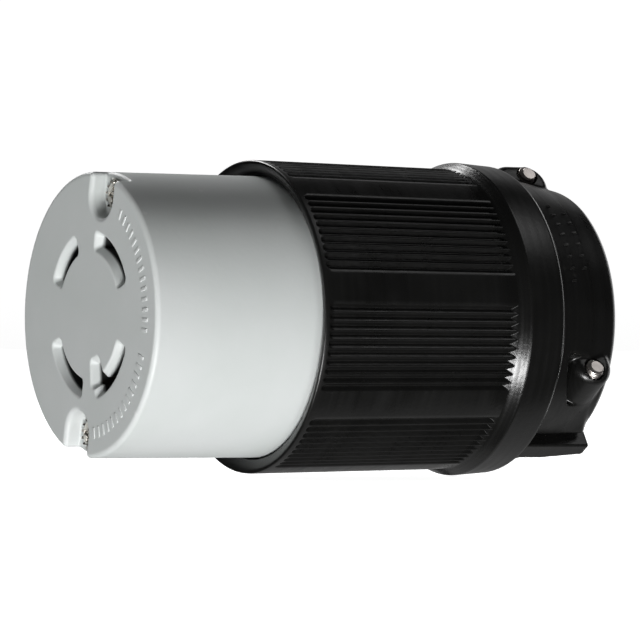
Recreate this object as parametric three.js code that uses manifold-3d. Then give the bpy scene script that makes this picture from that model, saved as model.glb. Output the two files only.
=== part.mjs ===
// Four-wire locking cord connector, lying on its side.
// Millimetres. The device axis is +Y, the mating face is at y = 0 and faces -Y, +Z is up.
// Everything is drawn upright (assembly screws at +Z and -Z), then the whole group is rolled about Y.
import * as THREE from 'three';
import { mergeVertices } from 'three/addons/utils/BufferGeometryUtils.js';
import Module from 'manifold-3d';

const wasm = await Module();
wasm.setup();

const ROLL = 11;
const GAP = 0.3;

// Light front body
const FACE_R = 25;
const FACE_EDGE = 1;
const FRONT_REAR = 38;
const SLAB = 17;
const SKIRT_R = 22.4;

// Curved blade slots: start and end angle of each mouth, device degrees from +X towards +Z
const SLOT_R = [11.2, 14.9];
const SLOT_CHAMFER = 0.75;
const SLOT_CHAMFER_DEPTH = 1.3;
const CAVITY_R = [10.4, 15.7];
const CAVITY_Y = 4.6;
const SLOTS = [
  { name: 'x', from: 33.5, to: 93, tail: 62 },
  { name: 'y', from: 121, to: 168.5, tail: 146 },
  { name: 'w', from: 211, to: 272, tail: 242 },
  { name: 'g', from: -68, to: -10, tail: -37 },
];
const HOOK = { from: -71, to: -53, r: [7.8, 12.4] };

// Assembly screws at +Z and -Z
const SCREW_AT = 21.2;
const NOTCH_R = 3.95;
const NOTCH_Y = 3.1;
const SEAT = { r: 3.3, y: 3, floor: 4.15, floorR: 2.3 };
const SCREW_HEAD = { r: 2.3, top: 2.4, edge: 2.75, under: 3.37 };
const SCREW_R = 1.75;
const SCREW_TIP = 49;
const WASHER = { r: 2.9, teeth: 14, y: [2.6, 4.05] };
const COLUMN_R = 4.2;
const INSERT = { r: 2.9, y: [40, 48] };

// Housing sleeve, flange and rear end
const LIP_Y = 31.7;
const BORE_R = 25.25;
const SHOULDER_Y = 38.4;
const CHAMBER_R = 23.2;
const CREST_R = 27.75;
const VALLEY_R = 27.0;
const RIB_TAPER = (27.15 / 27.75 - 1) / 36;
const RIB_Y = [32.6, 72.4];
const RIB_GROUPS = 8;
const RIBS = 10;
const RIB_PITCH = 3.3;
const FLANGE_R = 28.25;
const FLANGE_REAR = 81.3;

// Cord clamp, drawn with the jaw's opening direction along +X
const CLAMP_ANGLE = 45;
const DOME_Y = FLANGE_REAR + GAP;
const DOME_END = 95;
const CORD_R = 10;
const SPLIT = [-0.7, 0.5];
const CLAMP_SCREW = { z: 21, y: 89.05, r: 1.75, tip: 16.65, under: -5.2, head: 2.7 };
const BOSS = { z: 19.5, y: 89.3, r: 4.1, top: 16, reach: { a: 3.4, b: 0 } };
const BOSS_BASE = { z: 20, y: 89, r: 4.6, top: 7.5 };
const POCKET = { z: 19.4, y: 88.7, r: 4.9, floor: 8, from: 18.7 };
const SKIRT = { z: 25, x: 3.2, y: 93.2 };
const CLAMP_NUT = { r: 2.5, x: [1.2, 5.6] };
const EAR = { z: 26.75, x: -4.7, y: [74.5, 94.9] };

// Terminals, drawn with the screw pointing along -X
const TAIL = { r: [12.4, 13.6], half: 4, end: 53 };
const TERMINAL_Y = 46.5;
const PLATE_R = [16.6, 17.8];
const TERMINAL_SCREW = { r: 2.1, tip: 9.4, head: 3.5, top: 20.4, under: 18.1 };

const rad = THREE.MathUtils.degToRad;

function solid(geometry) {
  geometry.deleteAttribute('normal');
  geometry.deleteAttribute('uv');
  const merged = mergeVertices(geometry, 1e-4);
  const mesh = new wasm.Mesh({
    numProp: 3,
    vertProperties: new Float32Array(merged.attributes.position.array),
    triVerts: new Uint32Array(merged.index.array),
  });
  return new wasm.Manifold(mesh);
}

function geometryOf(body) {
  const mesh = body.getMesh();
  const geometry = new THREE.BufferGeometry();
  geometry.setAttribute('position', new THREE.BufferAttribute(mesh.vertProperties, 3));
  geometry.setIndex(new THREE.BufferAttribute(mesh.triVerts, 1));
  geometry.computeVertexNormals();
  return geometry;
}

// Body of revolution about Y from [radius, y] pairs, closed on the axis or on itself.
function turned(profile, segments) {
  const points = profile.map(([r, y]) => new THREE.Vector2(r, y));
  return solid(new THREE.LatheGeometry(points, segments));
}

function ring(inner, outer, y0, y1, segments) {
  return turned([[inner, y0], [outer, y0], [outer, y1], [inner, y1], [inner, y0]], segments);
}

// Prism along Y from an outline in the X-Z plane; bend may move each vertex [x, y, z].
function prismY(outline, y0, y1, bend) {
  const shape = new THREE.Shape(outline.map(([x, z]) => new THREE.Vector2(x, z)));
  const geometry = new THREE.ExtrudeGeometry(shape, { depth: y1 - y0, bevelEnabled: false });
  geometry.rotateX(Math.PI / 2);
  geometry.translate(0, y1, 0);
  if (bend) {
    const at = geometry.attributes.position;
    for (let i = 0; i < at.count; i += 1) {
      at.setXYZ(i, ...bend(at.getX(i), at.getY(i), at.getZ(i)));
    }
  }
  return solid(geometry);
}

// Prism along X from an outline in the Y-Z plane.
function prismX(outline, x0, x1) {
  const shape = new THREE.Shape(outline.map(([y, z]) => new THREE.Vector2(y, z)));
  const geometry = new THREE.ExtrudeGeometry(shape, { depth: x1 - x0, bevelEnabled: false });
  geometry.rotateY(Math.PI / 2);
  geometry.rotateX(Math.PI / 2);
  geometry.translate(x0, 0, 0);
  return solid(geometry);
}

function box(x, y, z) {
  const geometry = new THREE.BoxGeometry(x[1] - x[0], y[1] - y[0], z[1] - z[0]);
  geometry.translate((x[0] + x[1]) / 2, (y[0] + y[1]) / 2, (z[0] + z[1]) / 2);
  return solid(geometry);
}

function cylinderY(r, y0, y1, x, z, segments) {
  const geometry = new THREE.CylinderGeometry(r, r, y1 - y0, segments);
  geometry.translate(x, (y0 + y1) / 2, z);
  return solid(geometry);
}

function cylinderX(r, x0, x1, y, z, segments) {
  const geometry = new THREE.CylinderGeometry(r, r, x1 - x0, segments);
  geometry.rotateZ(-Math.PI / 2);
  geometry.translate((x0 + x1) / 2, y, z);
  return solid(geometry);
}

// Body of revolution about an axis along X, from [radius, x] pairs.
function turnedX(profile, y, z, segments) {
  const points = profile.map(([r, x]) => new THREE.Vector2(r, x));
  const geometry = new THREE.LatheGeometry(points, segments);
  geometry.rotateZ(-Math.PI / 2);
  geometry.translate(0, y, z);
  return solid(geometry);
}

function arcPoints(r, from, to, steps) {
  const points = [];
  for (let i = 0; i <= steps; i += 1) {
    const angle = rad(from + ((to - from) * i) / steps);
    points.push([r * Math.cos(angle), r * Math.sin(angle)]);
  }
  return points;
}

// Ring sector outline between two radii and two angles.
function sector(inner, outer, from, to) {
  const steps = Math.max(2, Math.round((to - from) / 9));
  const outside = arcPoints(outer, from, to, steps);
  const inside = arcPoints(inner, to, from, steps);
  return outside.concat(inside);
}

// Slot with a lead-in: the mouth tapers on all sides until it meets the straight throat.
function slotCut(inner, outer, from, to) {
  const middle = (inner + outer) / 2;
  const turn = THREE.MathUtils.radToDeg(SLOT_CHAMFER / middle);
  const half = [(outer - inner) / 2, rad(to - from) / 2];
  const centre = rad(from + to) / 2;
  const lead = prismY(sector(inner, outer, from, to), -0.5, 1.8, (x, y, z) => {
    const inset = (SLOT_CHAMFER * y) / SLOT_CHAMFER_DEPTH;
    const r = Math.hypot(x, z);
    const angle = Math.atan2(z, x);
    const side = Math.atan2(Math.sin(angle - centre), Math.cos(angle - centre));
    const newR = middle + (r - middle) * (1 - inset / half[0]);
    const newAngle = centre + side * (1 - inset / middle / half[1]);
    return [newR * Math.cos(newAngle), y, newR * Math.sin(newAngle)];
  });
  const c = SLOT_CHAMFER;
  return lead.add(prismY(sector(inner + c, outer - c, from + turn, to - turn), 0.4, CAVITY_Y + 0.5));
}

function frontBody() {
  let body = turned([
    [0, 0], [FACE_R - FACE_EDGE, 0], [FACE_R - 0.3 * FACE_EDGE, 0.3 * FACE_EDGE], [FACE_R, FACE_EDGE],
    [FACE_R - 0.1, FRONT_REAR], [SKIRT_R, FRONT_REAR], [SKIRT_R, SLAB], [0, SLAB],
  ], 60);
  const shell = turned([[0, 10], [FACE_R - 0.3, 10], [FACE_R - 0.3, FRONT_REAR], [0, FRONT_REAR]], 60);
  for (const side of [1, -1]) {
    const column = cylinderY(COLUMN_R, 16, FRONT_REAR, 0, side * SCREW_AT, 20);
    body = body.add(column.intersect(shell));
    const notch = cylinderY(NOTCH_R, -1, NOTCH_Y, 0, side * SCREW_AT, 24);
    const seat = turned([[0, SEAT.y], [SEAT.r, SEAT.y], [SEAT.floorR, SEAT.floor], [0, SEAT.floor]], 32);
    const open = [SCREW_AT, 30].map((z) => side * z).sort((a, b) => a - b);
    body = body.subtract(notch).subtract(box([-NOTCH_R + 0.02, NOTCH_R - 0.02], [-2, NOTCH_Y], open));
    body = body.subtract(seat.translate([0, 0, side * SCREW_AT]));
    body = body.subtract(cylinderY(SCREW_R + 0.35, 1, 40, 0, side * SCREW_AT, 16));
  }
  for (const slot of SLOTS) {
    body = body.subtract(slotCut(SLOT_R[0], SLOT_R[1], slot.from, slot.to));
    const cavity = sector(CAVITY_R[0], CAVITY_R[1], slot.from - 2, slot.to + 2);
    body = body.subtract(prismY(cavity, CAVITY_Y, SLAB + 1));
  }
  const hook = sector(HOOK.r[0], HOOK.r[1], HOOK.from, HOOK.to);
  return body.subtract(prismY(hook, -1, SLAB + 1));
}

// Sleeve outline: groups of V grooves with smooth flats between them.
function ribOutline() {
  const outline = [];
  const groupPitch = 360 / RIB_GROUPS;
  for (let g = 0; g < RIB_GROUPS; g += 1) {
    const start = g * groupPitch - (RIBS * RIB_PITCH) / 2;
    outline.push([CREST_R, start]);
    for (let i = 0; i < RIBS; i += 1) {
      const at = start + i * RIB_PITCH;
      outline.push([VALLEY_R, at + RIB_PITCH / 2], [CREST_R, at + RIB_PITCH]);
    }
    outline.push([CREST_R, start + (RIBS * RIB_PITCH + groupPitch) / 2]);
  }
  return outline.map(([r, a]) => [r * Math.cos(rad(a)), r * Math.sin(rad(a))]);
}

function sleeve() {
  return prismY(ribOutline(), RIB_Y[0], RIB_Y[1], (x, y, z) => {
    const scale = 1 + RIB_TAPER * (y - RIB_Y[0]);
    return [x * scale, y, z * scale];
  });
}

// Rear dome of the clamp with its cord passage and hollow, before it is split.
function dome(y0) {
  const body = turned([
    [CORD_R, y0], [26.3, y0], [25.9, 83.4], [25.2, 87], [24.3, 91], [23.6, 93.4],
    [22.8, 94.5], [21.6, DOME_END], [CORD_R, DOME_END], [CORD_R, y0],
  ], 44);
  const hollow = ring(13.2, 22.2, 84.4, 92.2, 36);
  return body.subtract(hollow);
}

function clampHole(x0, x1, side) {
  return cylinderX(CLAMP_SCREW.r + 0.35, x0, x1, CLAMP_SCREW.y, side * CLAMP_SCREW.z, 20);
}

// Space just inside the dome's outer skin, which the walls round its pockets and recesses stay within.
function domeInside() {
  return turned([[12.9, 84], [25.2, 84], [23.2, 92.6], [12.9, 92.6], [12.9, 84]], 36);
}

// Boss outline in the Y-Z plane: a circle, drawn out towards the flange by reach.
function bossOutline(side, reach) {
  const outline = [];
  for (let i = 0; i < 28; i += 1) {
    const angle = (2 * Math.PI * (i + 0.5)) / 28;
    const shift = Math.cos(angle) < 0 ? reach : 0;
    outline.push([BOSS.y - shift + BOSS.r * Math.cos(angle), side * BOSS.z + BOSS.r * Math.sin(angle)]);
  }
  return outline;
}

// Each screw boss breaks out of the dome; boss b has a crescent pocket on its flange side.
function clampJaw() {
  let body = dome(DOME_Y).intersect(box([SPLIT[1], 40], [70, 100], [-40, 40]));
  const inside = domeInside();
  for (const side of [1, -1]) {
    const rim = [21.8, SKIRT.z].map((z) => side * z).sort((a, b) => a - b);
    body = body.add(box([SPLIT[1], SKIRT.x], [DOME_Y, SKIRT.y], rim));
    const base = cylinderX(BOSS_BASE.r, SPLIT[1], BOSS_BASE.top, BOSS_BASE.y, side * BOSS_BASE.z, 24);
    body = body.add(base.intersect(inside));
  }
  const wall = cylinderX(POCKET.r + 1.5, POCKET.floor - 1.5, 40, POCKET.y, -POCKET.z, 24);
  body = body.add(wall.intersect(inside)).intersect(box([0, 40], [70, 100], [-SKIRT.z, SKIRT.z]));
  const crescent = cylinderX(POCKET.r, POCKET.floor, 40, POCKET.y, -POCKET.z, 32);
  body = body.subtract(crescent.intersect(box([0, 50], [80, POCKET.y], [-40, -POCKET.from])));
  body = body.add(prismX(bossOutline(1, BOSS.reach.a), 4, BOSS.top));
  body = body.add(prismX(bossOutline(-1, BOSS.reach.b), 4, BOSS.top));
  for (const side of [1, -1]) {
    const seat = cylinderX(
      CLAMP_NUT.r + 0.12, -5, CLAMP_NUT.x[1] + 0.2, CLAMP_SCREW.y, side * CLAMP_SCREW.z, 20,
    );
    body = body.subtract(seat).subtract(clampHole(5, 20, side));
  }
  return body;
}

// Fixed half: dome below the split with an ear and a recessed screw seat on each side.
function fixedHalf() {
  let body = dome(FLANGE_REAR - 1).intersect(box([-40, SPLIT[0]], [70, 100], [-40, 40]));
  const inside = domeInside();
  for (const side of [1, -1]) {
    const section = [
      [SPLIT[0], 17], [SPLIT[0], EAR.z], [EAR.x, EAR.z], [-8, 23], [-8, 17],
    ];
    const plan = [
      [EAR.y[0], 17], [EAR.y[1], 17], [EAR.y[1], EAR.z - 0.8], [EAR.y[1] - 0.8, EAR.z], [EAR.y[0], EAR.z],
    ];
    const mirror = ([a, z]) => [a, side * z];
    const ear = prismY(section.map(mirror), EAR.y[0], EAR.y[1]);
    body = body.add(ear.intersect(prismX(plan.map(mirror), -9, 0)));
    const wall = cylinderX(5.2, -20, SPLIT[0], CLAMP_SCREW.y, side * CLAMP_SCREW.z, 24);
    body = body.add(wall.intersect(inside));
  }
  for (const side of [1, -1]) {
    body = body.subtract(clampHole(-20, 5, side));
    const recess = CLAMP_SCREW.head + 0.6;
    body = body.subtract(
      cylinderX(recess, -30, CLAMP_SCREW.under, CLAMP_SCREW.y, side * CLAMP_SCREW.z, 20),
    );
  }
  const geometry = geometryOf(body);
  geometry.rotateY(-rad(CLAMP_ANGLE));
  return solid(geometry);
}

function housing() {
  const lip = ring(20, CREST_R - 0.05, LIP_Y, RIB_Y[0] + 0.01, 64);
  const flange = turned([
    [0, 69], [25.7, 69], [27.9, 73.2], [FLANGE_R, 74.1], [27.8, 80.1], [27.4, 81], [26.65, FLANGE_REAR],
    [0, FLANGE_REAR],
  ], 60);
  let body = sleeve().add(lip).add(flange).add(fixedHalf());
  body = body.subtract(turned([
    [0, 30], [26.6, 30], [26.6, LIP_Y], [BORE_R, 32.4], [BORE_R, SHOULDER_Y],
    [CHAMBER_R, SHOULDER_Y], [CHAMBER_R, 72], [CORD_R + 3, 78.6], [CORD_R, 79.4],
    [CORD_R, 98], [0, 98],
  ], 48));
  const shell = turned([[0, 38], [24.5, 38], [24.5, 60], [0, 60]], 48);
  for (const side of [1, -1]) {
    const boss = cylinderY(COLUMN_R, SHOULDER_Y, 50.5, 0, side * SCREW_AT, 28);
    body = body.add(boss.intersect(shell));
    body = body.subtract(cylinderY(INSERT.r + 0.2, 37, INSERT.y[1] + 0.2, 0, side * SCREW_AT, 24));
    body = body.subtract(cylinderY(SCREW_R + 0.35, 37, 53, 0, side * SCREW_AT, 20));
  }
  return body;
}

function contactCarrier() {
  let body = turned([[0, 34.2], [22.1, 34.2], [22.1, 37.7], [0, 37.7]], 48);
  body = body.add(cylinderY(5.2, SLAB + GAP, 54, 0, 0, 24));
  for (const angle of [14, 104, 194, 282.5]) {
    const wall = new THREE.BoxGeometry(18.6, 18, 1.6);
    wall.translate(12.5, 46, 0);
    wall.rotateY(-rad(angle));
    body = body.add(solid(wall));
  }
  for (const side of [1, -1]) {
    body = body.subtract(cylinderY(COLUMN_R + 0.4, 30, 60, 0, side * SCREW_AT, 28));
  }
  for (const slot of SLOTS) {
    const window = new THREE.BoxGeometry(TAIL.r[1] - TAIL.r[0] + 0.6, 10, 2 * TAIL.half + 0.6);
    window.translate((TAIL.r[0] + TAIL.r[1]) / 2, 36, 0);
    window.rotateY(-rad(slot.tail));
    body = body.subtract(solid(window));
  }
  return body;
}

// Contact in its own frame, terminal direction along +X.
function contact(slot) {
  const from = slot.from - slot.tail;
  const to = slot.to - slot.tail;
  const floor = prismY(sector(10.8, 15.3, from, to), 15.2, 16.4);
  let body = floor.add(prismY(sector(10.8, 11.6, from, to), 5.2, 15.4));
  body = body.add(prismY(sector(14.5, 15.3, from, to), 5.2, 15.4));
  const z = [-TAIL.half, TAIL.half];
  body = body.add(box(TAIL.r, [15.6, TAIL.end], z));
  return body.subtract(cylinderX(TERMINAL_SCREW.r + 0.25, 8, 18, TERMINAL_Y, 0, 20));
}

function terminalPlate() {
  const body = box(PLATE_R, [TERMINAL_Y - 4.5, TERMINAL_Y + 4.5], [-4.5, 4.5]);
  return body.subtract(cylinderX(TERMINAL_SCREW.r + 0.25, 8, 25, TERMINAL_Y, 0, 20));
}

function terminalScrew() {
  const s = TERMINAL_SCREW;
  const body = turnedX([
    [0, s.tip], [s.r, s.tip], [s.r, s.under], [s.head, s.under], [s.head, s.top], [0, s.top],
  ], TERMINAL_Y, 0, 16);
  const slot = box([s.top - 1, s.top + 1], [TERMINAL_Y - 5, TERMINAL_Y + 5], [-0.5, 0.5]);
  return body.subtract(slot);
}

function assemblyScrew() {
  const h = SCREW_HEAD;
  let body = turned([
    [0, h.top], [h.r - 0.3, h.top], [h.r, h.top + 0.25], [h.r, h.edge], [SCREW_R, h.under],
    [SCREW_R, SCREW_TIP - 0.6], [SCREW_R - 0.5, SCREW_TIP], [0, SCREW_TIP],
  ], 24);
  for (const turn of [0, 90]) {
    const arm = new THREE.BoxGeometry(2.6, 1.6, 0.7);
    arm.rotateY(rad(turn));
    arm.translate(0, h.top, 0);
    body = body.subtract(solid(arm));
  }
  return body;
}

// Countersunk lock washer: a cone under the screw head with teeth around its rim.
function assemblyWasher() {
  const [top, bottom] = WASHER.y;
  const inner = SCREW_R + 0.3;
  const cone = turned([
    [inner, bottom - 0.68], [2.73, top], [WASHER.r + 0.2, top], [WASHER.r + 0.2, top + 0.12], [inner, bottom],
    [inner, bottom - 0.68],
  ], 36);
  const outline = [];
  for (let i = 0; i < 2 * WASHER.teeth; i += 1) {
    const r = i % 2 ? WASHER.r : WASHER.r - 0.22;
    const angle = (Math.PI * i) / WASHER.teeth;
    outline.push([r * Math.cos(angle), r * Math.sin(angle)]);
  }
  return cone.intersect(prismY(outline, top - 1, bottom + 1));
}

function clampScrew() {
  const s = CLAMP_SCREW;
  const under = s.under - GAP;
  const body = turnedX([
    [0, under - 2.2], [s.head - 0.7, under - 2.2], [s.head, under - 1.6], [s.head, under], [s.r, under],
    [s.r, s.tip - 0.5], [s.r - 0.4, s.tip], [0, s.tip],
  ], 0, 0, 20);
  return body.subtract(box([under - 4, under - 1.2], [-5, 5], [-0.5, 0.5]));
}

function add(group, name, body, look) {
  const [colour, roughness, metalness] = look;
  const material = new THREE.MeshStandardMaterial({ color: colour, roughness, metalness });
  const mesh = new THREE.Mesh(geometryOf(body), material);
  mesh.name = name;
  group.add(mesh);
  return mesh;
}

const GREY = [0xc4cac8, 0.45, 0];
const BLACK = [0x1b1b1a, 0.5, 0];
const CARRIER = [0x6d706f, 0.55, 0];
const BRASS = [0xb08d3c, 0.35, 1];
const STEEL = [0xb9b4aa, 0.35, 1];
const GREEN = [0x2f7a45, 0.4, 1];

const connector = new THREE.Group();
connector.name = 'cord_connector';
connector.rotation.y = rad(ROLL);

add(connector, 'housing', housing(), BLACK);
add(connector, 'front_body', frontBody(), GREY);
add(connector, 'contact_carrier', contactCarrier(), CARRIER);

for (const slot of SLOTS) {
  const terminal = new THREE.Group();
  terminal.rotation.y = -rad(slot.tail);
  connector.add(terminal);
  add(terminal, `contact_${slot.name}`, contact(slot), BRASS);
  add(terminal, `terminal_plate_${slot.name}`, terminalPlate(), STEEL);
  add(terminal, `terminal_screw_${slot.name}`, terminalScrew(), slot.name === 'g' ? GREEN : BRASS);
}

for (const [letter, side] of [['a', 1], ['b', -1]]) {
  const post = new THREE.Group();
  post.position.z = side * SCREW_AT;
  connector.add(post);
  add(post, `assembly_screw_${letter}`, assemblyScrew(), STEEL);
  add(post, `assembly_washer_${letter}`, assemblyWasher(), STEEL);
  const insert = ring(SCREW_R + 0.2, INSERT.r, INSERT.y[0], INSERT.y[1], 20);
  add(post, `housing_insert_${letter}`, insert, BRASS);
}

const clamp = new THREE.Group();
clamp.rotation.y = -rad(CLAMP_ANGLE);
connector.add(clamp);
add(clamp, 'clamp_jaw', clampJaw(), BLACK);
for (const [letter, side] of [['a', 1], ['b', -1]]) {
  const bolt = new THREE.Group();
  bolt.position.set(0, CLAMP_SCREW.y, side * CLAMP_SCREW.z);
  clamp.add(bolt);
  add(bolt, `clamp_screw_${letter}`, clampScrew(), STEEL);
  const outer = cylinderX(CLAMP_NUT.r, CLAMP_NUT.x[0], CLAMP_NUT.x[1], 0, 0, 20);
  const nut = outer.subtract(cylinderX(CLAMP_SCREW.r + 0.2, 0, 15, 0, 0, 20));
  add(bolt, `clamp_nut_${letter}`, nut, BRASS);
}

export default connector;
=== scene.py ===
from math import atan2, cos, degrees, pi, radians, sin, tan

import bmesh
import bpy
import numpy as np
from mathutils import Matrix, Vector


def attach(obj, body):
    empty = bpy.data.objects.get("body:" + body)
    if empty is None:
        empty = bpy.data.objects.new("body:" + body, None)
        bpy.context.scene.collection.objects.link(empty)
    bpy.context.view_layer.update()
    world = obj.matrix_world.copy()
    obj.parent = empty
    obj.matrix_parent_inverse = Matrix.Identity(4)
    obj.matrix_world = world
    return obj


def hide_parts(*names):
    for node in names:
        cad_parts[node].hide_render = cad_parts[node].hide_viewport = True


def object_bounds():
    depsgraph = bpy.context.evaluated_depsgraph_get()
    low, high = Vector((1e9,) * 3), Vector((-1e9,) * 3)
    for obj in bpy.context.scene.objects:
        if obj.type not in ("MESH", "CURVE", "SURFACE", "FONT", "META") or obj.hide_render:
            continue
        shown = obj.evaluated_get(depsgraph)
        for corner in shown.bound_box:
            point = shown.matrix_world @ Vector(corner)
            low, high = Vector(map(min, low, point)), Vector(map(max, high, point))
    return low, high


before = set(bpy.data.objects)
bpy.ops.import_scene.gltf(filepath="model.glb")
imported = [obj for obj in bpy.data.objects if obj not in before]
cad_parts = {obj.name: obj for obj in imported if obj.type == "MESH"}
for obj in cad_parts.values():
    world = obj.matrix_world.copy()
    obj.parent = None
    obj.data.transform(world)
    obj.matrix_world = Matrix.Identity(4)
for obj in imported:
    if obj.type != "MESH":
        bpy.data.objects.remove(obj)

MM = 0.001
ROLL = radians(11)
CLAMP_TURN = radians(45)
START_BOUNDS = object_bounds()

# Front body. Its face lies just inside the CAD box, so that the raised ticks on it end inside the box too.
FACE_R, FACE_EDGE, FACE_Y, FACE_DRAFT, FRONT_REAR = 25.0, 0.9, 0.14, 0.1, 38.0
SLAB, SKIRT_R, COLUMN_R = 17.0, 22.4, 4.2
SLOT_MIDDLE, SLOT_HALF, SLOT_CORNER, SLOT_EDGE = 13.05, 1.15, 0.35, 0.25
CAVITY_HALF, CAVITY_Y, CAVITY_MORE = 2.65, 4.6, 2
LEAD, LEAD_DEPTH = 0.75, 1.4
SLOTS = ((33.5, 93.0), (121.0, 168.5), (211.0, 272.0), (-68.0, -10.0))
HOOK_ANGLES, HOOK_RADII = (-70.0, -54.0), (8.4, 12.4)
# Depth and radius where the painted shade inside the slots fades in.
SLOT_SHADE_Y, SLOT_SHADE_R = (1.5, 2.1), (16.4, 16.6)
MARK_R, MARK_SIZE = 20.7, (1.9, 0.3, 0.605)
MARK_ARCS, MARKS = ((4.0, 68.0), (-72.0, -9.0)), 14

# Assembly screws
SCREW_AT, SCREW_R, SCREW_TIP = 21.2, 1.75, 49.0
NOTCH_R, NOTCH_Y, NOTCH_EDGE = 3.95, 3.1, 0.9
SEAT_R, SEAT_FLOOR = 3.2, 4.15
SINK, SINK_LENGTH = 0.88, 1.33
HEAD_R, HEAD_TOP, HEAD_EDGE = 2.3, 2.4, 2.75
RECESS_HALF, RECESS_REACH, RECESS_DEPTH = 0.36, 1.45, 1.1
BORE_GAP, NUT_GAP, HEAD_GAP = 0.35, 0.22, 0.6
WASHER_R, WASHER_MIDDLE, WASHER_TEETH, WASHER_Y = 2.9, 3.05, 14, (2.6, 4.03)
THREAD_PITCH, THREAD_DEPTH, THREAD_FROM = 0.794, 0.34, 22

# Housing
LIP_Y, LIP_R, LIP_EDGE, BORE_R, SHOULDER_Y, CHAMBER_R = 31.7, 27.35, 0.4, 25.25, 38.4, 23.2
CREST, CREST_Y, VALLEY_DEPTH, VALLEY_RUN = (27.77, 27.1), (33, 71), 0.72, 1.1
RIB_FROM, RIB_GROUPS, RIBS, RIB_PITCH, RIB_STEPS, FLAT_STEPS = 32.75, 8, 10, 3.3, 12, 10
CONE_FOOT, CONE_SLOPE = (69.37, 25.9), radians(28)
POLISH_FROM, POLISH_TO = (68.5, 69.5), (73.8, 74.4)
FLANGE_R, FLANGE_Y, FLANGE_REAR, FLANGE_REAR_R = 28.24, 74.03, 81.3, 27.8
FLANGE_EDGE, FLANGE_REAR_EDGE = 1.0, 1.3

# Cord clamp, with the jaw opening along +X of its own frame
DOME_R, DOME_SLOPE, DOME_FROM, DOME_END, DOME_EDGE = 26.35, 0.218, 81.5, 95.0, 1.7
CORD_R, SPLIT = 10.0, (-0.7, 0.5)
RIDGE_Y, RIDGE_PITCH, RIDGE_DEPTH = 82, 4.4, 0.7
HOLLOW_R, HOLLOW_Y = (13.2, 22.2), (84.4, 92.2)
CLAMP_Z, CLAMP_Y, CLAMP_TIP, CLAMP_UNDER = 21.0, 89.05, 16.65, -5.5
CLAMP_HEAD_R, CLAMP_HEAD_HEIGHT, CLAMP_THREAD_FROM = 2.7, 2.2, -2.5
BORE_WALL_R, WALL_Y = 5.2, (84, 92.6)
BASE_Z, BASE_Y, BASE_R, BASE_TOP = 20, 89, 4.6, 7.5
BOSS_Z, BOSS_Y, BOSS_R, BOSS_FROM, BOSS_TOP, BOSS_REACH, BOSS_EDGE = 19.5, 89.25, 4.05, 4, 16.0, 3.4, 1.7
POCKET_Z, POCKET_Y, POCKET_R, POCKET_FLOOR, POCKET_FROM, POCKET_WALL = 19.4, 88.7, 4.9, 8.0, 18.7, 1.5
SKIRT_Z, SKIRT_X, SKIRT_Y, SKIRT_LEAN = (21.5, 25.0), 8.5, 94.3, 0.31
NUT_SEAT_R, NUT_SEAT_TOP = 2.62, 5.8
EAR_Z, EAR_X, EAR_Y = (17, 26.75), -4.8, (74.5, 94.98)
EAR_TAPER, EAR_TAPER_FROM = 0.14, 86.6
CLAMP_MARK_ROWS, CLAMP_MARK_SIZE = ((84.3, 8, -18.0, 5.2), (87.4, 6, -12.0, 5.6)), (0.3, 1.5, 0.5)

# Camera and stage, from the fitted view of the reference
TARGET = Vector((0.0, 45.0, 0.0)) * MM
CAMERA_AZIMUTH, CAMERA_ROLL, CAMERA_DISTANCE, CAMERA_LENS = radians(59.97), radians(0.663), 1.0, 315.7
CAMERA_SHIFT = (0.0133, -0.0039)
WORLD_GLOW = 0.014
SWEEP_R, SWEEP_BEND, SWEEP_WALL, SWEEP_STEPS = 1.9, 0.35, (0.4, 1.2), 96
# name, angle round the axis, lean, distance and size in metres, power in watts: see area_light
LIGHTS = (
    ("key", -37, 26, 0.9, 0.32, 8.1),
    ("key_side", -28, 0, 0.9, 0.36, 1.4),
    ("front", 0, 85, 0.9, 0.4, 1.47),
    ("top_back", 69, -30, 0.9, 0.5, 0.6),
    ("rim", 140, 0, 0.9, 0.4, 4.4),
    ("back_wall", 168, -28, 1.6, 2.0, 3.2),
    ("back_fill", 175, -66, 1.2, 1.0, 3.6),
    ("floor_back", -112, -30, 1.1, 1.5, 1.6),
)


# ---- signed distances, on arrays of x, y, z in millimetres ----

def both(a, b, edge=0.0):
    """Overlap of two solids with a rounded outer edge of radius edge."""
    p, q = a + edge, b + edge
    return np.minimum(np.maximum(p, q), 0) + np.hypot(np.maximum(p, 0), np.maximum(q, 0)) - edge


def either(a, b, fillet=0.0):
    """Union of two solids with a fillet where they meet."""
    return -both(-a, -b, fillet)


def without(a, b, edge=0.0):
    """First solid less the second."""
    return both(a, -b, edge)


def between(v, low, high):
    """Layer from low to high."""
    return np.abs(v - (low + high) / 2) - (high - low) / 2


def arc_slot(rho, angle, middle, half, start, end, corner):
    """Ring sector of half width half around radius middle, in the plane across the axis."""
    off = (angle - radians(start + end) / 2 + pi) % (2 * pi) - pi
    return both(np.abs(rho - middle) - half, (np.abs(off) - radians(end - start) / 2) * middle, corner)


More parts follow.
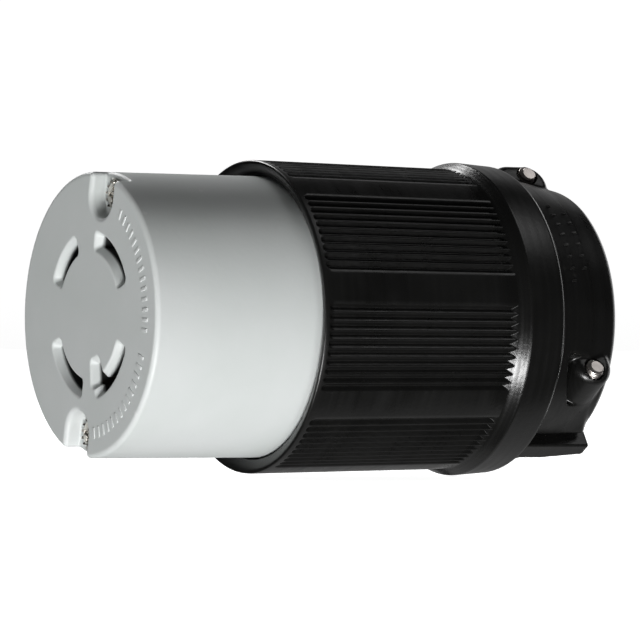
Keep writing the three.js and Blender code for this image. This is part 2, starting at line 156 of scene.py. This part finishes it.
def front_body(x, y, z):
    """Cup with its floor at the mating face, two screw columns with notches, and the four slots."""
    rho, angle = np.hypot(x, z), np.arctan2(z, x)
    body = both(rho - FACE_R + FACE_DRAFT * y / FRONT_REAR, FACE_Y - y, FACE_EDGE)
    body = both(body, y - FRONT_REAR, 0.3)
    body = without(body, both(rho - SKIRT_R, SLAB - y, 0.5), 0.3)
    for side in (1, -1):
        from_screw = np.hypot(x, side * z - SCREW_AT)
        column = both(both(from_screw - COLUMN_R, rho - FACE_R + 0.3), between(y, SLAB - 1, FRONT_REAR))
        body = either(body, column, 0.3)
        notch = np.where(side * z > SCREW_AT, np.abs(x), from_screw) - NOTCH_R
        body = without(body, both(notch, y - NOTCH_Y, 0.3), NOTCH_EDGE)
        cone = (from_screw - SEAT_R + SINK * (y - NOTCH_Y)) / SINK_LENGTH
        body = without(body, both(cone, between(y, NOTCH_Y - 0.5, SEAT_FLOOR)), 0.15)
        body = without(body, from_screw - SCREW_R - BORE_GAP, 0.1)
    lead = LEAD * np.clip(1 - y / LEAD_DEPTH, -0.05, 1.2)
    turn = degrees(LEAD / SLOT_MIDDLE)
    cuts = [arc_slot(rho, angle, SLOT_MIDDLE, SLOT_HALF, a + turn, b - turn, SLOT_CORNER) for a, b in SLOTS]
    middle, half = sum(HOOK_RADII) / 2, (HOOK_RADII[1] - HOOK_RADII[0]) / 2
    cuts.append(arc_slot(rho, angle, middle, half, *HOOK_ANGLES, SLOT_CORNER))
    for cut in cuts:
        body = without(body, cut - lead, SLOT_EDGE)
    for a, b in SLOTS:
        cavity = arc_slot(rho, angle, SLOT_MIDDLE, CAVITY_HALF, a - CAVITY_MORE, b + CAVITY_MORE, 0.4)
        body = without(body, both(cavity, CAVITY_Y - y), 0.1)
    return body


def dome_side(rho, y):
    """Tapering side of the rear dome, before it is scaled to a true distance."""
    return rho - DOME_R + DOME_SLOPE * (y - DOME_FROM)


def dome(x, y, z, front):
    """Rear dome around the cord passage, hollow inside, before it is split."""
    rho = np.hypot(x, z)
    body = both(dome_side(rho, y) * 0.975, y - DOME_END, DOME_EDGE)
    body = both(body, front - y, 0.2)
    ridges = RIDGE_DEPTH * np.clip(2 * np.abs((y - RIDGE_Y) / RIDGE_PITCH % 1 - 0.5) - 0.35, 0, 0.5)
    body = without(body, rho - CORD_R - ridges, 0.6)
    return without(body, both(between(rho, *HOLLOW_R), between(y, *HOLLOW_Y), 0.9))


def clamp_jaw(x, y, z):
    """Moving half of the dome with side skirts, two screw bosses and the crescent pocket beside one."""
    rho = np.hypot(x, z)
    inside = dome_side(rho, y) + 0.5
    body = both(dome(x, y, z, FLANGE_REAR + 0.3), SPLIT[1] - x, 0.3)
    skirt = both(both(between(x, SPLIT[1], SKIRT_X), SKIRT_Z[0] - np.abs(z)), FLANGE_REAR + 0.3 - y)
    lean = (np.abs(z) - SKIRT_Z[1] + SKIRT_LEAN * (x - SPLIT[1])) / 1.05
    body = either(body, both(skirt, both(lean, y - SKIRT_Y + 0.25 * x, 1.5), 0.3), 0.5)
    body = both(body, np.abs(z) - SKIRT_Z[1], 0.3)
    pocket = np.hypot(z + POCKET_Z, y - POCKET_Y) - POCKET_R
    wall = both(both(pocket - POCKET_WALL, POCKET_FLOOR - POCKET_WALL - x), both(inside, between(y, *WALL_Y)))
    behind = y - POCKET_Y - 1.2 * np.maximum(-z - 20.5, 0)
    crescent = both(both(pocket, behind, 0.3), both(z + POCKET_FROM, POCKET_FLOOR - x, 0.8), 1.0)
    body = without(either(body, wall, 0.3), crescent, 0.45)
    for side, reach in ((1, BOSS_REACH), (-1, 0)):
        base = both(np.hypot(side * z - BASE_Z, y - BASE_Y) - BASE_R, between(x, SPLIT[1], BASE_TOP))
        body = either(body, both(base, inside), 0.3)
        along = np.maximum(y - BOSS_Y, 0) + np.minimum(y - BOSS_Y + reach, 0)
        boss = np.hypot(side * z - BOSS_Z, along) - BOSS_R
        body = either(body, both(boss, between(x, BOSS_FROM, BOSS_TOP), BOSS_EDGE), 0.5)
    for side in (1, -1):
        from_screw = np.hypot(side * z - CLAMP_Z, y - CLAMP_Y)
        body = without(body, from_screw - SCREW_R - NUT_GAP, 0.1)
        body = without(body, both(from_screw - NUT_SEAT_R, x - NUT_SEAT_TOP))
    return both(body, SPLIT[1] - x)


def fixed_half(x, y, z):
    """Half of the dome that belongs to the housing, with its two ears and the clamp screws' bores."""
    rho = np.hypot(x, z)
    inside = dome_side(rho, y) + 0.5
    body = both(dome(x, y, z, FLANGE_REAR - 1), x - SPLIT[0], 0.3)
    lower = EAR_X + EAR_TAPER * np.maximum(y - EAR_TAPER_FROM, 0) - x
    for side in (1, -1):
        out = side * z
        ear = both(np.maximum(lower, x - SPLIT[0]), between(out, *EAR_Z), 0.35)
        ear = both(ear, between(y, *EAR_Y), 0.5)
        from_screw = np.hypot(out - CLAMP_Z, y - CLAMP_Y)
        wall = both(both(from_screw - BORE_WALL_R, between(x, -20, SPLIT[0])), inside)
        body = either(either(body, ear, 0.7), wall, 0.3)
    for side in (1, -1):
        from_screw = np.hypot(side * z - CLAMP_Z, y - CLAMP_Y)
        body = without(body, from_screw - SCREW_R - BORE_GAP, 0.12)
        body = without(body, both(from_screw - CLAMP_HEAD_R - HEAD_GAP, x - CLAMP_UNDER - 0.3), 0.3)
    return both(both(body, y - DOME_END), x - SPLIT[0])


def thread(rho, angle, along, start, end):
    """Vee thread of outer radius SCREW_R running out towards both ends of the shank."""
    phase = (along / THREAD_PITCH - angle / (2 * pi)) % 1
    groove = THREAD_DEPTH * (1 - 2 * np.abs(phase - 0.5))
    fade = np.clip((along - start) / 2, 0, 1)
    point = 0.9 * np.clip(along - end + 0.6, 0, 1)
    return (rho - SCREW_R + groove * fade + point) * 0.8


def assembly_screw(x, y, z):
    """Countersunk screw with a cross recess, its head towards the mating face."""
    rho = np.hypot(x, z)
    head = both(rho - HEAD_R, HEAD_TOP + 0.04 * rho * rho - y, 0.25)
    head = both(head, (rho - HEAD_R + SINK * (y - HEAD_EDGE)) / SINK_LENGTH)
    depth = y - HEAD_TOP - RECESS_DEPTH + 0.25 * rho
    for a, b in ((x, z), (z, x)):
        head = without(head, both(both(np.abs(a) - RECESS_HALF, np.abs(b) - RECESS_REACH), depth), 0.06)
    shank = thread(rho, np.arctan2(z, x), y, THREAD_FROM, SCREW_TIP)
    return either(head, both(shank, between(y, HEAD_EDGE + 0.4, SCREW_TIP), 0.1), 0.1)


def clamp_screw(x, y, z):
    """Slotted screw along +X, with a bevelled tip."""
    rho, top = np.hypot(y, z), CLAMP_UNDER - CLAMP_HEAD_HEIGHT
    crown = 0.08 * rho * rho
    head = both(rho - CLAMP_HEAD_R, np.maximum(top + crown - x, x - CLAMP_UNDER), 0.4)
    head = without(head, both(np.abs(z) - 0.5, x - top - 1.1), 0.08)
    shank = thread(rho, np.arctan2(z, y), x, CLAMP_THREAD_FROM, CLAMP_TIP + 0.2)
    point = (rho - 1.45 + 0.6 * (x - CLAMP_TIP)) / 1.17
    shank = both(both(shank, point), between(x, CLAMP_UNDER - 0.3, CLAMP_TIP), 0.06)
    return either(head, shank, 0.1)


def washer(x, y, z):
    """Countersunk lock washer: a thin cone with teeth round its rim."""
    rho, angle = np.hypot(x, z), np.arctan2(z, x)
    tooth = np.clip(np.abs((angle * WASHER_TEETH / (2 * pi)) % 1 - 0.5) * 4 - 0.5, 0, 1)
    cone = np.abs(rho - WASHER_MIDDLE + SINK * (y - WASHER_Y[0])) / SINK_LENGTH - 0.21
    body = both(both(cone, between(y, *WASHER_Y), 0.06), rho - WASHER_R + 0.5 * (1 - tooth), 0.05)
    return without(body, rho - SCREW_R - 0.3, 0.05)


# ---- meshes ----

def slopes(field, p, reach):
    """Gradient of the field at points p, by central differences."""
    out = np.empty_like(p)
    for a in range(3):
        step = np.zeros(3)
        step[a] = reach
        out[:, a] = (field(*(p + step).T) - field(*(p - step).T)) / (2 * reach)
    return out


def settle(field, p, step, rounds):
    """Draws points onto the surface where the field is zero."""
    for _ in range(rounds):
        g = slopes(field, p, step * 0.05)
        move = field(*p.T)[:, None] * g / np.maximum((g * g).sum(1, keepdims=True), 0.2)
        p = p - np.clip(move, -step, step)
    return p


def surface_net(field, low, high, step):
    """Vertices and quads of the field's zero surface: one vertex for each grid cell that it crosses."""
    axes = [np.arange(a - 1.5 * step, b + 2.5 * step, step) for a, b in zip(low, high)]
    inside = field(*np.meshgrid(*axes, indexing="ij")) < 0
    n = [s - 1 for s in inside.shape]
    corners = sum(
        inside[i:n[0] + i, j:n[1] + j, k:n[2] + k].astype(np.int8)
        for i in (0, 1) for j in (0, 1) for k in (0, 1)
    )
    crossed = (corners > 0) & (corners < 8)
    number = np.full(crossed.shape, -1)
    number[crossed] = np.arange(crossed.sum())
    cells = np.argwhere(crossed)
    points = np.stack([axes[a][cells[:, a]] for a in range(3)], 1) + step / 2
    quads = []
    for a in range(3):
        order = (a, (a + 1) % 3, (a + 2) % 3)
        solid, cell = inside.transpose(order), number.transpose(order)
        low_in, high_in = solid[:-1, 1:-1, 1:-1], solid[1:, 1:-1, 1:-1]
        for change, way in ((low_in & ~high_in, 1), (~low_in & high_in, -1)):
            i, j, k = np.nonzero(change)
            quad = np.stack([cell[i, j, k], cell[i, j + 1, k], cell[i, j + 1, k + 1], cell[i, j, k + 1]], 1)
            quads.append(quad[:, ::way])
    quads = np.concatenate(quads)
    points = settle(field, points, step, 3)
    for _ in range(2):
        total, count = np.zeros_like(points), np.zeros(len(points))
        for shift in (1, 3):
            other = np.roll(quads, shift, 1)
            np.add.at(total, quads.ravel(), points[other.ravel()])
            np.add.at(count, quads.ravel(), 1)
        points = settle(field, points * 0.4 + 0.6 * total / count[:, None], step, 2)
    return points, quads


def to_row(turn):
    """Matrix from the device frame, turned about Y, in millimetres to the row frame in metres."""
    return Matrix.Rotation(ROLL, 4, "Y") @ Matrix.Rotation(-turn, 4, "Y") @ Matrix.Scale(MM, 4)


def new_object(name, points, faces, turn=0.0, normals=None, at=(0, 0, 0)):
    """Mesh object from millimetre points in the device frame, or in a frame turned from it about Y."""
    place = to_row(turn) @ Matrix.Translation(Vector(at))
    m = np.array(place)
    mesh = bpy.data.meshes.new(name)
    mesh.from_pydata((points @ m[:3, :3].T + m[:3, 3]).tolist(), [], [list(f) for f in faces])
    mesh.polygons.foreach_set("use_smooth", [True] * len(mesh.polygons))
    if normals is not None:
        turned = normals @ m[:3, :3].T
        turned /= np.linalg.norm(turned, axis=1, keepdims=True)
        mesh.normals_split_custom_set_from_vertices(turned.tolist())
    mesh.update()
    obj = bpy.data.objects.new(name, mesh)
    bpy.context.collection.objects.link(obj)
    return obj


def moulded(name, field, low, high, step, turn=0.0, at=(0, 0, 0)):
    """Object with the shape of a field inside a box, meshed on a grid of the given step."""
    step = step * 1.0
    points, quads = surface_net(field, low, high, step)
    return new_object(name, points, quads.tolist(), turn, slopes(field, points, step * 0.1), at)


def sleeve_angles():
    """(angle, groove depth share) round the sleeve: 1 in a valley, 0 on a crest or a flat."""
    group, flat = 360 / RIB_GROUPS, 360 / RIB_GROUPS - RIBS * RIB_PITCH
    out = []
    for g in range(RIB_GROUPS):
        start = g * group - RIBS * RIB_PITCH / 2
        for i in range(RIBS * RIB_STEPS):
            share = i / RIB_STEPS % 1
            out.append((radians(start + i * RIB_PITCH / RIB_STEPS), 1 - abs(2 * share - 1)))
        for i in range(FLAT_STEPS):
            out.append((radians(start + RIBS * RIB_PITCH + flat * i / FLAT_STEPS), 0.0))
    return np.array(out)


def rounded_corner(centre, radius, start, end, steps):
    """(r, y) points round a corner in the profile plane; angles in degrees from +r towards +y."""
    turns = [radians(start + (end - start) * i / steps) for i in range(steps + 1)]
    return [(centre[0] + radius * cos(t), centre[1] + radius * sin(t)) for t in turns]


def housing_sleeve():
    """Closed tube: plain rows inside, ribbed rows outside, joined over the lip and the rear face."""
    angles = sleeve_angles()
    turns, groove = angles[:, 0], angles[:, 1]
    rows = []

    def plain(points):
        rows.extend((np.full(len(turns), r), y) for r, y in points)

    plain([(CHAMBER_R, SHOULDER_Y + 0.1), (BORE_R - 0.1, SHOULDER_Y), (BORE_R, SHOULDER_Y - 0.1)])
    plain([(BORE_R, 32.9), (BORE_R + 0.15, 32.6), (26.9, LIP_Y + 0.12)])
    plain(rounded_corner((LIP_R, LIP_Y + LIP_EDGE), LIP_EDGE, 250, 360, 6))
    fine = [RIB_FROM + 0.12 * i for i in range(11)]
    straight = list(np.linspace(34.5, 69.6, 6))
    zigzag = list(np.arange(70.0, 71.9, 0.07))
    slope = tan(CONE_SLOPE)
    for y in [RIB_FROM - 0.15] + fine + straight + zigzag:
        crest = CREST[0] + (CREST[1] - CREST[0]) * (y - CREST_Y[0]) / (CREST_Y[1] - CREST_Y[0])
        t = np.clip((y - RIB_FROM) / VALLEY_RUN, 0, 1)
        lift = VALLEY_DEPTH * (1 - np.sqrt(1 - (1 - t) ** 2)) if t < 1 else 0.0
        wave = 0.5 - 0.5 * np.cos(pi * groove)
        shape = 0.75 * groove + 0.25 * wave
        radius = crest - np.maximum(VALLEY_DEPTH * shape - lift, 0)
        cone = CONE_FOOT[1] + slope * (y - CONE_FOOT[0])
        rows.append((np.maximum(radius, cone), y))
    plain([(CONE_FOOT[1] + slope * (y - CONE_FOOT[0]), y) for y in (72.1, 73.0)])
    plain(rounded_corner((FLANGE_R - FLANGE_EDGE, FLANGE_Y), FLANGE_EDGE, -28, 4, 8))
    plain([(FLANGE_R - 0.22, 77.0)])
    rear = (FLANGE_REAR_R - FLANGE_REAR_EDGE, FLANGE_REAR - FLANGE_REAR_EDGE)
    plain(rounded_corner(rear, FLANGE_REAR_EDGE, 4, 90, 10))
    plain([(24, FLANGE_REAR), (CORD_R + 0.6, FLANGE_REAR), (CORD_R, FLANGE_REAR - 0.5), (CORD_R, 79.6)])
    plain([(CORD_R + 3, 78.6), (CHAMBER_R, 72.3), (CHAMBER_R, 71.7), (CHAMBER_R, 45)])
    count = len(turns)
    points = np.concatenate(
        [np.stack([r * np.cos(turns), np.full(count, y), r * np.sin(turns)], 1) for r, y in rows]
    )
    here, after = np.arange(count), (np.arange(count) + 1) % count
    faces = []
    for i in range(len(rows)):
        row, below = i * count, (i + 1) % len(rows) * count
        faces.append(np.stack([row + here, row + after, below + after, below + here], 1))
    return new_object("housing_sleeve", points, np.concatenate(faces).tolist())


def bar_mesh(bm, place, size, bevel):
    """Adds one softened bar, size along its own axes, at the given matrix."""
    made = bmesh.ops.create_cube(bm, size=1.0, matrix=place @ Matrix.Diagonal((*size, 1)))
    edges = list(dict.fromkeys(e for v in made["verts"] for e in v.link_edges))
    bmesh.ops.bevel(bm, geom=edges, offset=bevel, segments=2, affect="EDGES", profile=0.6)


def bars(name, places, size, bevel, turn=0.0):
    """One object of softened bars, one at each place."""
    bm = bmesh.new()
    for place in places:
        bar_mesh(bm, to_row(turn) @ place, size, bevel * MM)
    mesh = bpy.data.meshes.new(name)
    bm.to_mesh(mesh)
    bm.free()
    mesh.polygons.foreach_set("use_smooth", [True] * len(mesh.polygons))
    obj = bpy.data.objects.new(name, mesh)
    bpy.context.collection.objects.link(obj)
    return obj


def face_marks():
    """Two arcs of raised ticks on the mating face."""
    places = []
    for start, end in MARK_ARCS:
        for i in range(MARKS):
            turn = start + (end - start) * i / (MARKS - 1)
            spin = Matrix.Rotation(-radians(turn), 4, "Y")
            places.append(spin @ Matrix.Translation((MARK_R, MARK_SIZE[1] / 2 + 0.005, 0)))
    return bars("face_marks", places, MARK_SIZE, 0.09)


def clamp_marks():
    """Two rows of short raised ticks on the jaw's dome."""
    places = []
    for y, count, start, step in CLAMP_MARK_ROWS:
        radius = DOME_R - DOME_SLOPE * (y - DOME_FROM)
        for i in range(count):
            spin = Matrix.Rotation(-radians(start + step * i), 4, "Y")
            tilt = Matrix.Rotation(-atan2(DOME_SLOPE, 1), 4, "Z")
            places.append(spin @ Matrix.Translation((radius - 0.06, y, 0)) @ tilt)
    return bars("clamp_marks", places, CLAMP_MARK_SIZE, 0.08, CLAMP_TURN)


# ---- materials ----

class Nodes:
    """Short way to build one material's node tree. Places in it are object coordinates, in metres."""

    def __init__(self, name):
        self.material = bpy.data.materials.new(name)
        self.material.use_nodes = True
        self.tree = self.material.node_tree
        self.shader = self.tree.nodes["Principled BSDF"]
        self.place = self.add("ShaderNodeTexCoord").outputs["Object"]

    def add(self, kind, inputs=None, **settings):
        node = self.tree.nodes.new(kind)
        for key, value in settings.items():
            setattr(node, key, value)
        for key, value in (inputs or {}).items():
            self.feed(node.inputs[key], value)
        return node

    def feed(self, socket, value):
        if isinstance(value, bpy.types.NodeSocket):
            self.tree.links.new(value, socket)
        else:
            socket.default_value = value

    def math(self, operation, *values):
        node = self.add("ShaderNodeMath", operation=operation)
        for socket, value in zip(node.inputs, values):
            self.feed(socket, value)
        return node.outputs[0]

    def noise(self, scale, detail=3.0, vector=None):
        place = vector or self.place
        node = self.add("ShaderNodeTexNoise", {"Scale": scale, "Detail": detail, "Vector": place})
        return node.outputs["Fac"]

    def ramp(self, factor, low, high, start=0.3, end=0.7):
        """Goes from low to high as the factor goes from start to end, and stays there."""
        node = self.add("ShaderNodeMapRange", {
            "Value": factor, "From Min": start, "From Max": end, "To Min": low, "To Max": high,
        })
        return node.outputs[0]

    def mix(self, factor, a, b):
        node = self.add("ShaderNodeMix", data_type="RGBA")
        self.feed(node.inputs["Factor"], factor)
        self.feed(node.inputs[6], a)
        self.feed(node.inputs[7], b)
        return node.outputs[2]

    def polar(self):
        """Distance from the device axis, and place along it."""
        split = self.add("ShaderNodeSeparateXYZ", {"Vector": self.place})
        x, z = split.outputs["X"], split.outputs["Z"]
        flat = self.add("ShaderNodeCombineXYZ", {"X": x, "Y": 0.0, "Z": z})
        size = self.add("ShaderNodeVectorMath", {0: flat.outputs[0]}, operation="LENGTH").outputs["Value"]
        return size, split.outputs["Y"]

    def along(self, values, ends, rising=True, reach=1.0):
        """Step of the given reach between two places in millimetres."""
        low, high = (0.0, reach) if rising else (reach, 0.0)
        return self.ramp(values, low, high, ends[0] * MM, ends[1] * MM)

    def around(self, radial, along):
        """Coordinates that don't change round the device axis, for turned or drawn streaks."""
        size, y = self.polar()
        joined = self.add("ShaderNodeCombineXYZ", {
            "X": self.math("MULTIPLY", size, radial), "Y": self.math("MULTIPLY", y, along),
        })
        return joined.outputs[0]

    def bump(self, height, strength, distance):
        node = self.add("ShaderNodeBump", {"Height": height, "Strength": strength, "Distance": distance})
        self.feed(self.shader.inputs["Normal"], node.outputs[0])

    def set(self, **values):
        for key, value in values.items():
            self.feed(self.shader.inputs[key.replace("_", " ")], value)
        return self.material


def rgb(r, g, b):
    return (r, g, b, 1.0)


def grey_plastic():
    """Grey face moulding; inside the slots, behind the lead, its colour turns to near black: painted shade,
    drawn as a black liner behind the face.
    """
    m = Nodes("light_grey_thermoplastic")
    cloud = m.ramp(m.noise(60.0, 4.0), 0.0, 1.0)
    worn = m.ramp(m.add("ShaderNodeNewGeometry").outputs["Pointiness"], 0.0, 0.6, 0.52, 0.6)
    colour = m.mix(cloud, rgb(0.615, 0.648, 0.635), rgb(0.66, 0.685, 0.68))
    colour = m.mix(worn, colour, rgb(0.74, 0.76, 0.755))
    size, y = m.polar()
    # Painted shade: deeper than the lead and inside the slot ring, the grey is darkened to near black.
    slot_shade = m.math("MULTIPLY", m.along(y, SLOT_SHADE_Y), m.along(size, SLOT_SHADE_R, rising=False))
    colour = m.mix(slot_shade, colour, rgb(0.02, 0.021, 0.02))
    m.bump(m.math("ADD", m.noise(900.0, 5.0), m.math("MULTIPLY", m.noise(140.0), 1.4)), 0.1, 0.0002)
    return m.set(Base_Color=colour, Roughness=m.ramp(m.noise(220.0), 0.4, 0.5), Specular_IOR_Level=0.45)


def black_nylon():
    """Black moulding with fine streaks round the axis; the cone before the flange is polished."""
    m = Nodes("black_nylon")
    cloud = m.ramp(m.noise(90.0, 4.0), 0.0, 1.0)
    drawn = m.noise(1.0, 2.0, m.around(2600.0, 700.0))
    worn = m.ramp(m.add("ShaderNodeNewGeometry").outputs["Pointiness"], 0.0, 0.5, 0.53, 0.62)
    colour = m.mix(cloud, rgb(0.0045, 0.0045, 0.0043), rgb(0.0075, 0.0075, 0.0072))
    colour = m.mix(worn, colour, rgb(0.022, 0.022, 0.021))
    height = m.math("ADD", m.noise(1300.0, 4.0), m.math("MULTIPLY", drawn, 0.9))
    m.bump(height, 0.12, 0.00018)
    rough = m.math("ADD", m.ramp(m.noise(160.0), 0.29, 0.36), m.ramp(drawn, -0.05, 0.05))
    y = m.polar()[1]
    polish = m.math("MULTIPLY", m.along(y, POLISH_FROM, reach=0.09), m.along(y, POLISH_TO, rising=False))
    rough = m.math("SUBTRACT", rough, polish)
    return m.set(Base_Color=colour, Roughness=rough, Specular_IOR_Level=0.5)


def thermoset():
    """Dark grey of the contact carrier."""
    m = Nodes("dark_thermoset")
    cloud = m.ramp(m.noise(150.0, 5.0), 0.0, 1.0)
    m.bump(m.noise(1100.0, 4.0), 0.15, 0.0002)
    colour = m.mix(cloud, rgb(0.15, 0.16, 0.16), rgb(0.2, 0.21, 0.21))
    return m.set(Base_Color=colour, Roughness=m.ramp(m.noise(300.0), 0.5, 0.62))


def metal(name, dark, light, low, high, streaks):
    """Metal between two colours and two roughnesses, with drawn streaks."""
    m = Nodes(name)
    cloud = m.ramp(m.noise(260.0, 4.0), 0.0, 1.0)
    drawn = m.noise(1.0, 2.0, m.around(streaks, streaks * 0.4))
    m.bump(m.math("ADD", drawn, m.noise(1500.0)), 0.12, 0.0001)
    rough = m.ramp(m.noise(500.0, 4.0), low, high)
    return m.set(Base_Color=m.mix(cloud, dark, light), Metallic=1.0, Roughness=rough)


def lightbox():
    """Pale floor and sweep that glow evenly, as a light table does."""
    m = Nodes("pale_sweep")
    cloud = m.ramp(m.noise(3.0), 0.0, 1.0)
    colour = m.mix(cloud, rgb(0.84, 0.84, 0.84), rgb(0.87, 0.87, 0.87))
    m.set(Base_Color=colour, Roughness=0.9, Specular_IOR_Level=0.1)
    m.feed(m.shader.inputs["Emission Color"], rgb(1, 1, 1))
    m.feed(m.shader.inputs["Emission Strength"], 0.95)
    return m.material


# ---- assembly of the looks ----

def dress(obj, material, body, slot, *nodes):
    """Gives a piece its material and body, and says which CAD nodes it stands for. Its slot argument is not
    used.
    """
    obj.data.materials.clear()
    obj.data.materials.append(material)
    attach(obj, body)
    if nodes:
        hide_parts(*nodes)


def dress_node(name, material):
    """A CAD node keeps its shape and gets softened edges and a finish."""
    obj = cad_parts[name]
    obj.data.materials.clear()
    obj.data.materials.append(material)
    soft = obj.modifiers.new("soft_edges", "BEVEL")
    soft.width = 0.12 * MM
    soft.segments = 2
    soft.limit_method = "ANGLE"
    soft.angle_limit = radians(40)
    soft.harden_normals = True
    obj.data.polygons.foreach_set("use_smooth", [True] * len(obj.data.polygons))


def build_looks():
    grey, black, carrier = grey_plastic(), black_nylon(), thermoset()
    brass = metal("brass", rgb(0.6, 0.42, 0.17), rgb(0.78, 0.58, 0.28), 0.25, 0.4, 3000.0)
    zinc = metal("zinc_plated_steel", rgb(0.5, 0.48, 0.44), rgb(0.72, 0.69, 0.64), 0.22, 0.36, 4000.0)
    # Painted light: a lighter copy of the zinc for the clamp screws, so that their tips look brightly lit.
    lit_zinc = metal("zinc_lit_copy_for_clamp_screws", rgb(0.62, 0.58, 0.55), rgb(0.82, 0.76, 0.73), 0.3, 0.42, 4000.0)
    green = metal("green_dyed_steel", rgb(0.02, 0.2, 0.07), rgb(0.05, 0.34, 0.13), 0.3, 0.42, 3000.0)

    reach = FACE_R
    front = moulded("front_body_shell", front_body, (-reach, 0, -reach), (reach, FRONT_REAR, reach), 0.36)
    dress(front, grey, "connector", "grey_face", "front_body")
    dress(face_marks(), grey, "connector", "grey_face")
    dress(housing_sleeve(), black, "connector", "black_nylon", "housing")

    low, high = (-27, 74, -27), (0, DOME_END, 27)
    fixed = moulded("housing_clamp_half", fixed_half, low, high, 0.34, CLAMP_TURN)
    dress(fixed, black, "connector", "black_nylon", "housing")
    jaw = moulded("clamp_jaw_shell", clamp_jaw, (0, 81, -27), (27, DOME_END, 27), 0.34, CLAMP_TURN)
    dress(jaw, black, "clamp_jaw", "black_nylon", "clamp_jaw")
    dress(clamp_marks(), black, "clamp_jaw", "black_nylon")

    for letter, side in (("a", 1), ("b", -1)):
        at = (0, 0, side * SCREW_AT)
        low, high = (-HEAD_R, HEAD_TOP, -HEAD_R), (HEAD_R, SCREW_TIP, HEAD_R)
        screw = moulded(f"assembly_screw_{letter}_threaded", assembly_screw, low, high, 0.17, 0.0, at)
        dress(screw, zinc, f"assembly_screw_{letter}", "zinc_steel", f"assembly_screw_{letter}")
        low, high = (-WASHER_R, WASHER_Y[0], -WASHER_R), (WASHER_R, WASHER_Y[1], WASHER_R)
        ring = moulded(f"assembly_washer_{letter}_toothed", washer, low, high, 0.12, 0.0, at)
        dress(ring, zinc, f"assembly_washer_{letter}", "zinc_steel", f"assembly_washer_{letter}")
        at = (0, CLAMP_Y, side * CLAMP_Z)
        reach = CLAMP_HEAD_R
        low, high = (CLAMP_UNDER - CLAMP_HEAD_HEIGHT, -reach, -reach), (CLAMP_TIP, reach, reach)
        screw = moulded(f"clamp_screw_{letter}_threaded", clamp_screw, low, high, 0.17, CLAMP_TURN, at)
        dress(screw, lit_zinc, f"clamp_screw_{letter}", "zinc_steel", f"clamp_screw_{letter}")
        dress_node(f"clamp_nut_{letter}", brass)
        dress_node(f"housing_insert_{letter}", brass)
    dress_node("contact_carrier", carrier)
    for letter in "xywg":
        dress_node(f"contact_{letter}", brass)
        dress_node(f"terminal_plate_{letter}", zinc)
        dress_node(f"terminal_screw_{letter}", green if letter == "g" else brass)


def sweep():
    """Round pale floor that curves up into a wall, high behind the object and low in front of it."""
    floor_z = START_BOUNDS[0][2] - 0.0003
    foot, bend = SWEEP_R - SWEEP_BEND, SWEEP_BEND
    bm = bmesh.new()
    rings = []
    for i in range(SWEEP_STEPS):
        turn = 2 * pi * i / SWEEP_STEPS
        behind = 0.5 - 0.5 * cos(turn - CAMERA_AZIMUTH + pi / 2)
        height = SWEEP_WALL[0] + SWEEP_WALL[1] * behind
        profile = [(0.02, 0.0), (foot, 0.0)]
        profile += [(foot + bend * sin(a), bend - bend * cos(a)) for a in np.linspace(0.2, pi / 2, 7)]
        profile += [(SWEEP_R, bend + height)]
        x, y = cos(turn), sin(turn)
        rings.append([bm.verts.new((r * x, TARGET.y + r * y, floor_z + h)) for r, h in profile])
    for i, ring in enumerate(rings):
        after = rings[(i + 1) % len(rings)]
        for j in range(len(ring) - 1):
            bm.faces.new((ring[j], ring[j + 1], after[j + 1], after[j]))
    bm.faces.new([ring[0] for ring in reversed(rings)])
    bmesh.ops.recalc_face_normals(bm, faces=bm.faces)
    mesh = bpy.data.meshes.new("studio_sweep")
    bm.to_mesh(mesh)
    bm.free()
    mesh.materials.append(lightbox())
    mesh.polygons.foreach_set("use_smooth", [True] * len(mesh.polygons))
    obj = bpy.data.objects.new("studio_sweep", mesh)
    bpy.context.collection.objects.link(obj)
    obj.visible_diffuse = obj.visible_glossy = obj.visible_shadow = False


def area_light(name, around, lean, distance, size, power):
    """Round soft light, set by its angle round the axis from +X to +Z and its lean towards the mating face."""
    data = bpy.data.lights.new(name, "AREA")
    data.shape = "DISK"
    data.size = size
    data.energy = power
    obj = bpy.data.objects.new(name, data)
    a, b = radians(around), radians(lean)
    way = Vector((cos(a) * cos(b), -sin(b), sin(a) * cos(b)))
    obj.location = TARGET + way * distance
    obj.rotation_euler = way.to_track_quat("Z", "Y").to_euler()
    bpy.context.collection.objects.link(obj)


def studio():
    """Sweep, faint even world light and the soft lights."""
    sweep()
    world = bpy.data.worlds.new("studio")
    bpy.context.scene.world = world
    world.use_nodes = True
    background = world.node_tree.nodes["Background"]
    background.inputs["Color"].default_value = (1, 1, 1, 1)
    background.inputs["Strength"].default_value = WORLD_GLOW
    for light in LIGHTS:
        area_light(*light)
    bpy.context.scene.view_settings.view_transform = "Standard"


def camera():
    """Level camera at the fitted azimuth, rolled and shifted a little."""
    back = Vector((sin(CAMERA_AZIMUTH), -cos(CAMERA_AZIMUTH), 0))
    flat_right = Vector((0, 0, 1)).cross(back).normalized()
    right = flat_right * cos(CAMERA_ROLL) + Vector((0, 0, 1)) * sin(CAMERA_ROLL)
    up = back.cross(right)
    data = bpy.data.cameras.new("camera")
    data.lens = CAMERA_LENS
    data.sensor_width = 36
    data.shift_x, data.shift_y = CAMERA_SHIFT
    data.clip_start, data.clip_end = 0.01, 20
    obj = bpy.data.objects.new("camera", data)
    turn = Matrix((right, up, back)).transposed().to_4x4()
    obj.matrix_world = Matrix.Translation(TARGET + back * CAMERA_DISTANCE) @ turn
    bpy.context.collection.objects.link(obj)
    bpy.context.scene.camera = obj


build_looks()
studio()
camera()
